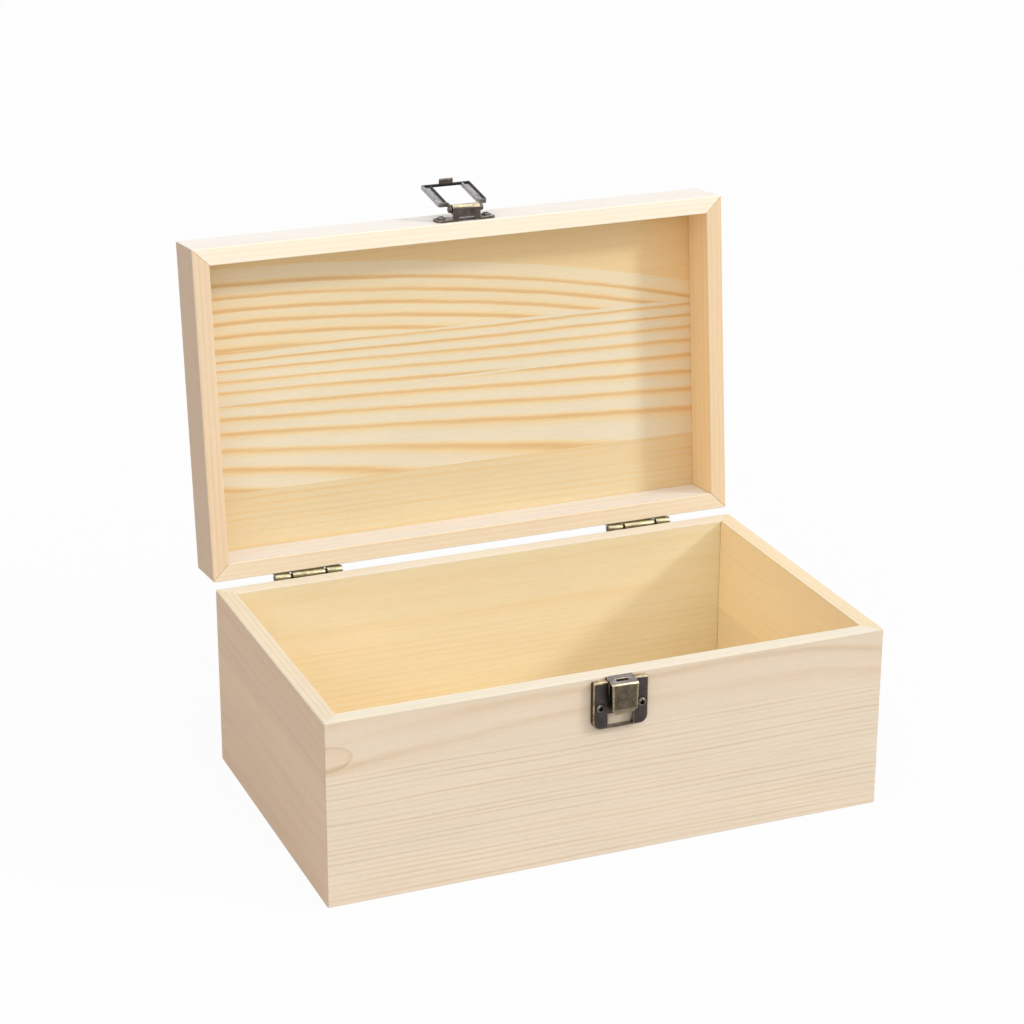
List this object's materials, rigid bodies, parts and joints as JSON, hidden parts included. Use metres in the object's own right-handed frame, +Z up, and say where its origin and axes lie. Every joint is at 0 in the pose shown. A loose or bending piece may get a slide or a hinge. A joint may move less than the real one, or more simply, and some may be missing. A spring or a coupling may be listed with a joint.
{
  "type": "wooden storage box",
  "caption": "Rectangular pine storage box with mitred corners, a shallow hinged lid that stands open on stop hinges, and a metal hasp latch with a swinging loop.",
  "frame": {"origin": "centre of the base's underside, on the surface the box stands on", "axes": "+X along the width, to the right as seen from the latch side; +Y from the latch side to the hinge side; +Z up"},
  "size_m": [0.2, 0.1618, 0.1951],
  "materials": {
    "pine": "bare planed pine with fine grain",
    "hinge_brass": "dull brass plating",
    "antique_bronze": "dark antique bronze, rubbed golden on the edges"
  },
  "bodies": {
    "base": {"base_back_panel": "pine", "base_bottom_panel": "pine", "base_front_panel": "pine", "base_left_panel": "pine", "base_right_panel": "pine", "catch_plate": "antique_bronze", "catch_screws": "antique_bronze", "left_hinge_base_leaf": "hinge_brass", "left_hinge_base_screws": "hinge_brass", "left_hinge_pin": "hinge_brass", "right_hinge_base_leaf": "hinge_brass", "right_hinge_base_screws": "hinge_brass", "right_hinge_pin": "hinge_brass"},
    "lid": {"hasp_plate": "antique_bronze", "hasp_screws": "antique_bronze", "left_hinge_lid_leaf": "hinge_brass", "left_hinge_lid_screws": "hinge_brass", "lid_back_rail": "pine", "lid_front_rail": "pine", "lid_left_rail": "pine", "lid_right_rail": "pine", "lid_top_panel": "pine", "right_hinge_lid_leaf": "hinge_brass", "right_hinge_lid_screws": "hinge_brass"},
    "loop": {"hasp_loop": "antique_bronze", "hasp_pivot_pin": "antique_bronze"}
  },
  "joints": [
    {"name": "lid_hinge", "type": "hinge", "parent": "base", "child": "lid", "pos_m": [0, 0.0609, 0.0655], "axis": [-1, 0, 0], "range_deg": [-95.6, 0]},
    {"name": "loop_pivot", "type": "hinge", "parent": "lid", "child": "loop", "pos_m": [0.0014, 0.07689, 0.18863], "axis": [1, 0, 0], "range_deg": [0, 161.9]}
  ]
}
